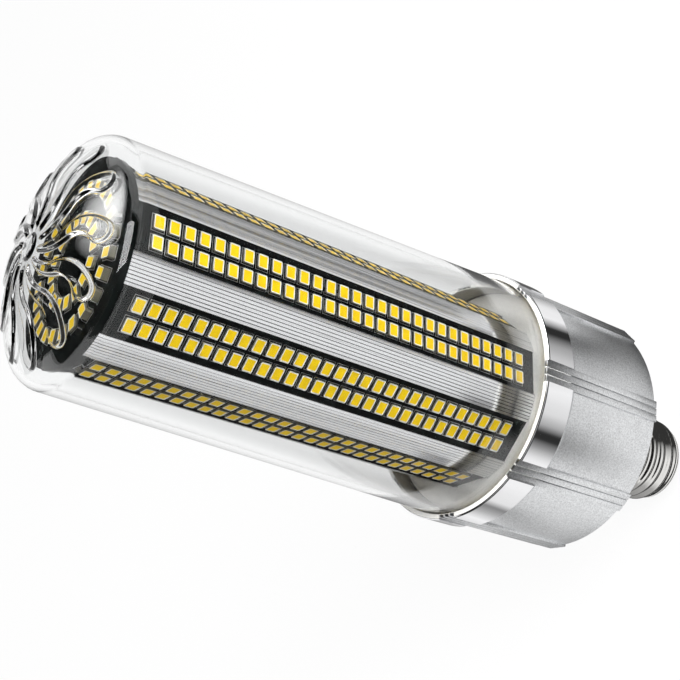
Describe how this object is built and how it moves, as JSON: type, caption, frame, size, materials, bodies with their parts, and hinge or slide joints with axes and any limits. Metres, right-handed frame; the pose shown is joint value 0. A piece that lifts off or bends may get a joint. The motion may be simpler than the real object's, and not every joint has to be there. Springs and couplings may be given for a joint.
{
  "type": "corn led bulb",
  "caption": "Corn lamp with a standard screw cap: a grooved aluminium column of yellow LED strips under a clear swirl-domed cover, on a satin housing with a polished ring",
  "frame": {"origin": "tip of the centre contact, on the lamp's axis", "axes": "+Z along the lamp's axis from the cap to the dome; +X through the middle of the first strip"},
  "size_m": [0.072, 0.072, 0.2211],
  "materials": {
    "clear_cover": "clear, polished",
    "column": "bright extruded, fine lengthwise grooves",
    "board": "glossy black solder mask",
    "led": "yellow phosphor window",
    "housing": "sandblasted, ring polished",
    "rear_cover": "satin white",
    "screw_shell": "polished nickel plate",
    "insulator": "glossy black",
    "contact": "satin",
    "driver_board": "solder mask",
    "driver_dark": "matte"
  },
  "bodies": {
    "root": {"cap_insulator": "insulator", "centre_contact": "contact", "clear_cover": "clear_cover", "column": "column", "driver_board": "driver_board", "driver_capacitor": "driver_dark", "driver_choke": "driver_dark", "driver_rectifier": "driver_dark", "driver_transformer": "driver_dark", "end_board": "board", "end_leds": "led", "housing": "housing", "rear_cover": "rear_cover", "screw_shell": "screw_shell", "strip_board_1": "board", "strip_board_2": "board", "strip_board_3": "board", "strip_board_4": "board", "strip_board_5": "board", "strip_board_6": "board", "strip_board_7": "board", "strip_board_8": "board", "strip_leds_1": "led", "strip_leds_2": "led", "strip_leds_3": "led", "strip_leds_4": "led", "strip_leds_5": "led", "strip_leds_6": "led", "strip_leds_7": "led", "strip_leds_8": "led"}
  },
  "joints": []
}
